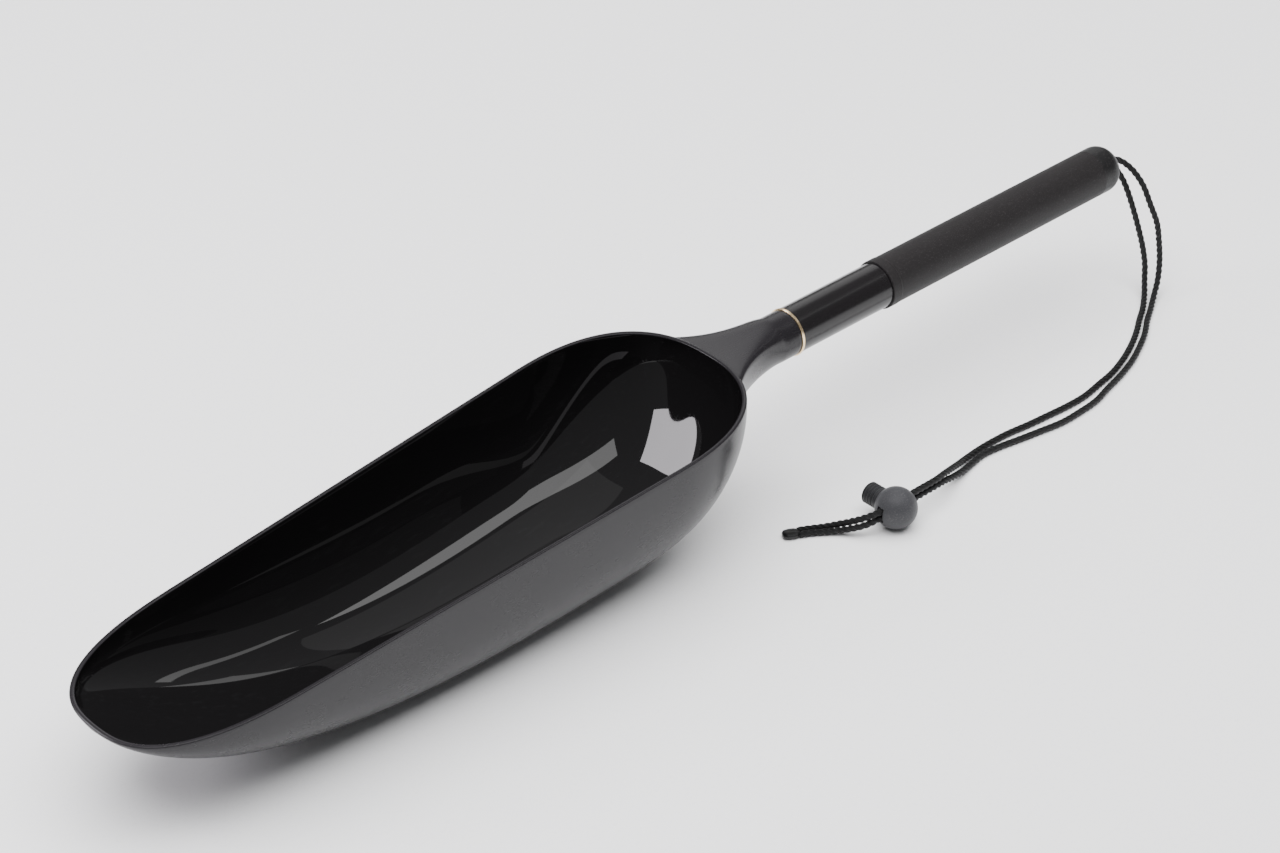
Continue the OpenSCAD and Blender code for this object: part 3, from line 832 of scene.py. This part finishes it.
MARKS_PER_PATCH = 16.0
rubbed, ins, outs = new_group("rubbed_marks",
                              [("Scale", 60.0), ("Amount", 0.5), ("Lengthwise", 0.08)],
                              [("Mask", "NodeSocketFloat")])
where = node(rubbed, "ShaderNodeTexCoord", (-900, -250))
shape = node(rubbed, "ShaderNodeCombineXYZ", (-700, -450))
shape.inputs["Y"].default_value = shape.inputs["Z"].default_value = 1.0
rubbed.links.new(ins.outputs["Lengthwise"], shape.inputs["X"])
drawn_out = node(rubbed, "ShaderNodeVectorMath", (-500, -250), operation="MULTIPLY")
rubbed.links.new(where.outputs["Object"], drawn_out.inputs[0])
rubbed.links.new(shape.outputs["Vector"], drawn_out.inputs[1])
fine = node(rubbed, "ShaderNodeTexNoise", (-250, -150))
fine.inputs["Detail"].default_value = 6.0
fine_scale = maths(rubbed, "MULTIPLY", ins.outputs["Scale"], MARKS_PER_PATCH, (-500, 0))
rubbed.links.new(fine_scale, fine.inputs["Scale"])
rubbed.links.new(drawn_out.outputs["Vector"], fine.inputs["Vector"])
patches = node(rubbed, "ShaderNodeTexNoise", (-250, 250))
rubbed.links.new(where.outputs["Object"], patches.inputs["Vector"])
rubbed.links.new(ins.outputs["Scale"], patches.inputs["Scale"])
lines = stretch(rubbed, fine.outputs["Fac"], 0.54, 0.68, at=(0, -150))
areas = stretch(rubbed, patches.outputs["Fac"], 0.4, 0.65, at=(0, 250))
lines_in_areas = maths(rubbed, "MULTIPLY", lines, areas, (200, 0))
mask = maths(rubbed, "MULTIPLY", lines_in_areas, ins.outputs["Amount"], (350, 0))
rubbed.links.new(mask, outs.inputs["Mask"])
print("groups:", [g.name for g in bpy.data.node_groups])


# %% A start that every finish shares
class Finish:
    """One material: a Principled shader with plain values on its own sockets."""

    def __init__(self, name, colour, roughness, **sockets):
        self.material = bpy.data.materials.new(name)
        self.material.use_nodes = True
        self.tree = self.material.node_tree
        self.shader = self.tree.nodes["Principled BSDF"]
        self.shader.inputs["Base Color"].default_value = (*colour, 1)
        self.shader.inputs["Roughness"].default_value = roughness
        for label, value in sockets.items():
            self.shader.inputs[label.replace("_", " ")].default_value = value

    def group(self, tree, at=(-900, 0), **values):
        made = node(self.tree, "ShaderNodeGroup", at, node_tree=tree)
        for label, value in values.items():
            made.inputs[label].default_value = value
        return made

    def vary_colour(self, mask, low, high, at=(-400, 300)):
        mix = node(self.tree, "ShaderNodeMix", at, data_type="RGBA")
        # A Mix node lists its number sockets first; its colours A and B are 6 and 7, its result 2.
        mix.inputs[6].default_value, mix.inputs[7].default_value = (*low, 1), (*high, 1)
        self.tree.links.new(mask, mix.inputs[0])
        self.tree.links.new(mix.outputs[2], self.shader.inputs["Base Color"])

    def vary_roughness(self, mask, low, high, at=(-400, 0)):
        roughness = stretch(self.tree, mask, 0, 1, low, high, at)
        self.tree.links.new(roughness, self.shader.inputs["Roughness"])

    def relief(self, height, depth_mm, strength=1.0, at=(-300, -300)):
        bump = node(self.tree, "ShaderNodeBump", at)
        bump.inputs["Distance"].default_value = depth_mm * MM
        bump.inputs["Strength"].default_value = strength
        self.tree.links.new(height, bump.inputs["Height"])
        self.tree.links.new(bump.outputs["Normal"], self.shader.inputs["Normal"])

    def object_axis(self, axis, at=(-1100, -400)):
        where = node(self.tree, "ShaderNodeTexCoord", at)
        split = node(self.tree, "ShaderNodeSeparateXYZ", (at[0] + 180, at[1]))
        self.tree.links.new(where.outputs["Object"], split.inputs[0])
        return split.outputs[axis]


def wear(finish, *pieces):
    for piece in pieces:
        piece.data.materials.clear()
        piece.data.materials.append(finish.material)


# %% [markdown]
# ### The scoop's black
#
# The inside of the mould was polished and the outside was left satin, so the two faces of one
# plastic look quite different. The inside is almost pure mirror over black, with faint swirl
# marks from use. The outside mirrors the pale table softly, and so reads as dark grey.

# %% Inside and outside of the scoop
bowl_gloss = Finish("bowl_gloss", (0.0050, 0.0047, 0.0050), 0.04, IOR=1.5)
marks = bowl_gloss.group(rubbed, Scale=34.0, Amount=0.35, Lengthwise=0.22)
bowl_gloss.vary_roughness(marks.outputs["Mask"], 0.022, 0.13)
bowl_gloss.vary_colour(marks.outputs["Mask"], (0.0048, 0.0045, 0.0048), (0.009, 0.009, 0.0095))
waves = bowl_gloss.group(grain, (-900, -350), Scale=60.0, Pits=0.0)
bowl_gloss.relief(waves.outputs["Height"], 0.02, 0.25)

shell_satin = Finish("shell_satin", (0.0105, 0.0096, 0.0112), 0.30, Specular_IOR_Level=0.32)
marks = shell_satin.group(rubbed, Scale=40.0, Amount=0.4, Lengthwise=0.3)
shell_satin.vary_roughness(marks.outputs["Mask"], 0.27, 0.31)
WEAR_STARTS, WEAR_FULL, LIP_WEAR, MARK_WEAR = 45, 2, 0.3, 0.12
along = shell_satin.object_axis("X")
lip_wear = stretch(shell_satin.tree, along, (lip_x + WEAR_STARTS) * MM, (lip_x + WEAR_FULL) * MM,
                   0.0, LIP_WEAR, (-800, -450))
faint_marks = maths(shell_satin.tree, "MULTIPLY", marks.outputs["Mask"], MARK_WEAR)
worn = maths(shell_satin.tree, "ADD", faint_marks, lip_wear)
shell_satin.vary_colour(worn, (0.0100, 0.0090, 0.0106), (0.028, 0.026, 0.029))
skin_grain = shell_satin.group(grain, (-900, -700), Scale=1800.0, Pits=0.25)
shell_satin.relief(skin_grain.outputs["Height"], 0.005, 0.5)
for finish in (shell_satin, bowl_gloss):
    scoop.data.materials.append(finish.material)

# %% [markdown]
# ### The handle's blacks, and the metals
#
# The tube is lacquered, with a clear coat over black. The grip is a thin rubber sleeve with an
# all-over grain, and the cap is moulded from a darker rubber with paler flecks, and is coloured
# paler over its last few millimetres towards its end. The ring, insert and stud were turned on a
# lathe, so fine grooves run round them.

# %% Handle finishes
tube_lacquer = Finish("tube_lacquer", (0.007, 0.0062, 0.0068), 0.24, Specular_IOR_Level=0.32,
                      Coat_Weight=0.15, Coat_Roughness=0.12)
marks = tube_lacquer.group(rubbed, Scale=45.0, Amount=0.6, Lengthwise=0.35)
tube_lacquer.vary_roughness(marks.outputs["Mask"], 0.22, 0.40)
peel = tube_lacquer.group(grain, (-900, -350), Scale=320.0, Pits=0.0)
tube_lacquer.relief(peel.outputs["Height"], 0.01, 0.4)
wear(tube_lacquer, node_of["handle_tube"])

grip_rubber = Finish("grip_rubber", (0.016, 0.0145, 0.0150), 0.62, Specular_IOR_Level=0.3)
fine_skin = grip_rubber.group(grain, Scale=1900.0, Pits=0.7)
grip_rubber.vary_colour(fine_skin.outputs["Speckle"],
                        (0.0105, 0.0093, 0.0097), (0.034, 0.031, 0.032))
grip_rubber.vary_roughness(fine_skin.outputs["Speckle"], 0.60, 0.72)
grip_rubber.relief(fine_skin.outputs["Height"], 0.09, 0.9)
wear(grip_rubber, node_of["grip_sleeve"])

cap_rubber = Finish("cap_rubber", (0.008, 0.0078, 0.008), 0.5, Specular_IOR_Level=0.3)
flecks = cap_rubber.group(grain, Scale=1300.0, Pits=0.5)
PALING_STARTS, END_PALING, FLECK_SHARE = 2.5, 0.55, 0.5
along = cap_rubber.object_axis("X")
# The cap's colour turns paler over its last few millimetres towards its end.
end_paling = stretch(cap_rubber.tree, along, (butt_x - PALING_STARTS) * MM, butt_x * MM,
                  0.0, END_PALING, (-800, -450))
faint_flecks = maths(cap_rubber.tree, "MULTIPLY", flecks.outputs["Speckle"], FLECK_SHARE)
pale = maths(cap_rubber.tree, "ADD", faint_flecks, end_paling)
cap_rubber.vary_colour(pale, (0.0072, 0.0070, 0.0072), (0.055, 0.053, 0.054))
cap_rubber.vary_roughness(pale, 0.42, 0.6)
cap_rubber.relief(flecks.outputs["Height"], 0.08, 0.8)
wear(cap_rubber, node_of["butt_cap"])


WORN_ROUGHER, WORN_DARKER = 0.22, 0.72


def turned_metal(name, colour, roughness, grooves_per_mm, groove_mm):
    """A lathe-turned metal: a wave along the axis gives the grooves, and rubbed marks dull it."""
    finish = Finish(name, colour, roughness, Metallic=1.0)
    place = finish.object_axis("X")
    winding_angle = maths(finish.tree, "MULTIPLY", place, grooves_per_mm * 2 * math.pi / MM)
    finish.relief(maths(finish.tree, "SINE", winding_angle, 0), groove_mm, 0.5)
    marks = finish.group(rubbed, Scale=160.0, Amount=0.8, Lengthwise=1.0)
    finish.vary_roughness(marks.outputs["Mask"], roughness, roughness + WORN_ROUGHER)
    finish.vary_colour(marks.outputs["Mask"], colour, tuple(c * WORN_DARKER for c in colour))
    return finish


gold = turned_metal("gold_ring", (1.0, 0.78, 0.48), 0.27, 4, 0.004)
brass = turned_metal("turned_brass", (0.76, 0.56, 0.28), 0.3, 4, 0.01)
steel = turned_metal("turned_steel", (0.36, 0.36, 0.37), 0.3, 7, 0.004)
wear(gold, node_of["trim_ring"])
wear(brass, node_of["threaded_insert"])
wear(steel, stud, spring)

# %% [markdown]
# ### Cord and cord lock
#
# Nylon cord is a bundle of fine fibres. The lobes are in the mesh already, so the finish adds
# only what is finer: fibres that follow the twist, a soft sheen at the outline, and a few pale
# hairs. The lock is a grey plastic with a fine spark-eroded texture.

# %% Cord and lock finishes
cord_nylon = Finish("cord_nylon", (0.005, 0.005, 0.005), 0.7,
                    Sheen_Weight=0.06, Specular_IOR_Level=0.3)
FIBRES_ROUND, FIBRES_ALONG = 30.0, 3.0
tree = cord_nylon.tree
route_map = node(tree, "ShaderNodeUVMap", (-1500, 0), uv_map="rope")
split = node(tree, "ShaderNodeSeparateXYZ", (-1300, 0))
tree.links.new(route_map.outputs["UV"], split.inputs[0])
untwisted = maths(tree, "SUBTRACT", split.outputs["X"], split.outputs["Y"], (-1150, 100))
fibre_place = node(tree, "ShaderNodeCombineXYZ", (-900, 0))
tree.links.new(maths(tree, "MULTIPLY", untwisted, FIBRES_ROUND), fibre_place.inputs["X"])
lengthwise = maths(tree, "MULTIPLY", split.outputs["Y"], FIBRES_ALONG, (-1150, -100))
tree.links.new(lengthwise, fibre_place.inputs["Y"])
fibres = node(tree, "ShaderNodeTexNoise", (-700, 0))
fibres.inputs["Scale"].default_value, fibres.inputs["Detail"].default_value = 1.6, 5.0
tree.links.new(fibre_place.outputs["Vector"], fibres.inputs["Vector"])
hairs = stretch(tree, fibres.outputs["Fac"], 0.5, 0.78, at=(-500, 200))
cord_nylon.vary_colour(hairs, (0.0040, 0.0040, 0.0042), (0.020, 0.020, 0.021))
cord_nylon.vary_roughness(hairs, 0.62, 0.85)
cord_nylon.relief(fibres.outputs["Fac"], 0.16, 0.9)
wear(cord_nylon, *[strand for strand, _, _ in strands])

knot_nylon = Finish("knot_nylon", (0.005, 0.005, 0.005), 0.75, Sheen_Weight=0.06)
strand_grain = knot_nylon.group(grain, Scale=1400.0, Pits=0.6)
knot_nylon.vary_colour(strand_grain.outputs["Speckle"],
                       (0.0040, 0.0040, 0.0042), (0.018, 0.018, 0.019))
knot_nylon.relief(strand_grain.outputs["Height"], 0.15, 0.9)
wear(knot_nylon, knot)

melted_nylon = Finish("melted_nylon", (0.006, 0.006, 0.006), 0.38, Specular_IOR_Level=0.4)
drawn = melted_nylon.group(grain, Scale=700.0, Pits=0.8)
melted_nylon.vary_colour(drawn.outputs["Speckle"], (0.0045, 0.0045, 0.0048), (0.016, 0.0155, 0.016))
melted_nylon.vary_roughness(drawn.outputs["Speckle"], 0.3, 0.6)
melted_nylon.relief(drawn.outputs["Height"], 0.14, 0.9)
wear(melted_nylon, melted_end)


SPARK_SHARE = 0.35


def lock_plastic(name, dark, pale):
    """Moulded plastic with a spark-eroded grain and rubbed marks, paler where either shows."""
    finish = Finish(name, dark, 0.5, Specular_IOR_Level=0.3)
    sparks = finish.group(grain, Scale=1700.0, Pits=0.5)
    marks = finish.group(rubbed, (-900, 350), Scale=120.0, Amount=0.9, Lengthwise=1.0)
    faint_sparks = maths(finish.tree, "MULTIPLY", sparks.outputs["Speckle"], SPARK_SHARE)
    both = maths(finish.tree, "ADD", faint_sparks, marks.outputs["Mask"])
    finish.vary_colour(both, dark, pale)
    finish.vary_roughness(marks.outputs["Mask"], 0.46, 0.62)
    finish.relief(sparks.outputs["Height"], 0.05, 0.8)
    return finish


ball_grey = lock_plastic("lock_plastic", (0.036, 0.036, 0.0395), (0.075, 0.075, 0.079))
button_grey = lock_plastic("button_plastic", (0.018, 0.018, 0.0195), (0.045, 0.045, 0.047))
wear(ball_grey, node_of["lock_body"])
wear(button_grey, node_of["lock_button"])
print("finishes:", [m.name for m in bpy.data.materials])

# %% [markdown]
# ## The table and the light
#
# Gloss black shows the lamps more than it shows itself, so the lamps are placed by what they
# should draw on it. A long strip overhead gives the pale band low on the trough's far side. A
# window-shaped lamp on the left gives the clear patch on the heel. A slim light beyond the
# handle gives the thin line that runs round the floor to the lip. A faint glow overhead and a
# panel at the back fill the dark between them. The white table lights the outside from below.


# %% Table and lamps
def area_lamp(name, at, aim, size, radiance, roll=0):
    """A flat lamp that faces aim; its power is worked out from how bright its face should be."""
    lamp = bpy.data.lights.new(name, "AREA")
    lamp.shape, lamp.size, lamp.size_y = "RECTANGLE", size[0], size[1]
    lamp.energy = radiance * math.pi * size[0] * size[1]
    made = bpy.data.objects.new(name, lamp)
    bpy.context.scene.collection.objects.link(made)
    made.location = at
    facing = (Vector(at) - Vector(aim)).to_track_quat("Z", "Y").to_matrix()
    made.rotation_euler = (facing @ Matrix.Rotation(math.radians(roll), 3, "Z")).to_euler()
    return made


def towards(point, direction, distance):
    return Vector(point) + Vector(direction).normalized() * distance


HEEL_POINT, MIDDLE = Vector((0.009, 0.005, 0.032)), (0, 0, 0.06)
window_at = towards(HEEL_POINT, (-0.646, 0.594, 0.48), 1.3)
panel_at = towards(MIDDLE, (0.62, 0.60, 0.50), 2.0)
window = area_lamp("window_lamp", window_at, HEEL_POINT, (0.58, 0.37), 11.5, -47)
window.data.color = (1.0, 0.965, 1.015)
area_lamp("overhead_strip", (-0.08, -0.31, 1.43), (-0.08, -0.31, 0), (2.1, 0.47), 3.2, -31)
area_lamp("ceiling_glow", (0.36, 0.40, 1.8), (0.36, 0.40, 0), (1.75, 1.6), 0.3)
area_lamp("slim_light", (1.57, -0.22, 1.5), MIDDLE, (1.6, 0.10), 1.6, -18)
area_lamp("back_panel", panel_at, MIDDLE, (1.3, 1.0), 1.2)
# This one lights the table and stays out of the mirror images.
table_light = area_lamp("table_light", (0, 0, 2.2), (0, 0, 0), (3.2, 3.2), 5.0)
table_light.visible_glossy = False

TABLE_HALF, WORLD_STRENGTH = 5, 0.22
corners = [(x * TABLE_HALF, y * TABLE_HALF, 0) for x, y in ((-1, -1), (1, -1), (1, 1), (-1, 1))]
table_mesh = bpy.data.meshes.new("table")
table_mesh.from_pydata(corners, [], [(0, 1, 2, 3)])
floor = bpy.data.objects.new("table", table_mesh)
bpy.context.scene.collection.objects.link(floor)
paper = Finish("table_paper", (0.86, 0.86, 0.87), 0.8)
fibre = paper.group(grain, Scale=500.0, Pits=0.2)
paper.vary_colour(fibre.outputs["Speckle"], (0.87, 0.87, 0.88), (0.84, 0.84, 0.85))
wear(paper, floor)

world = bpy.data.worlds.new("studio")
world.use_nodes = True
background = world.node_tree.nodes["Background"]
background.inputs["Color"].default_value = (1.0, 1.0, 1.02, 1)
background.inputs["Strength"].default_value = WORLD_STRENGTH
bpy.context.scene.world = world
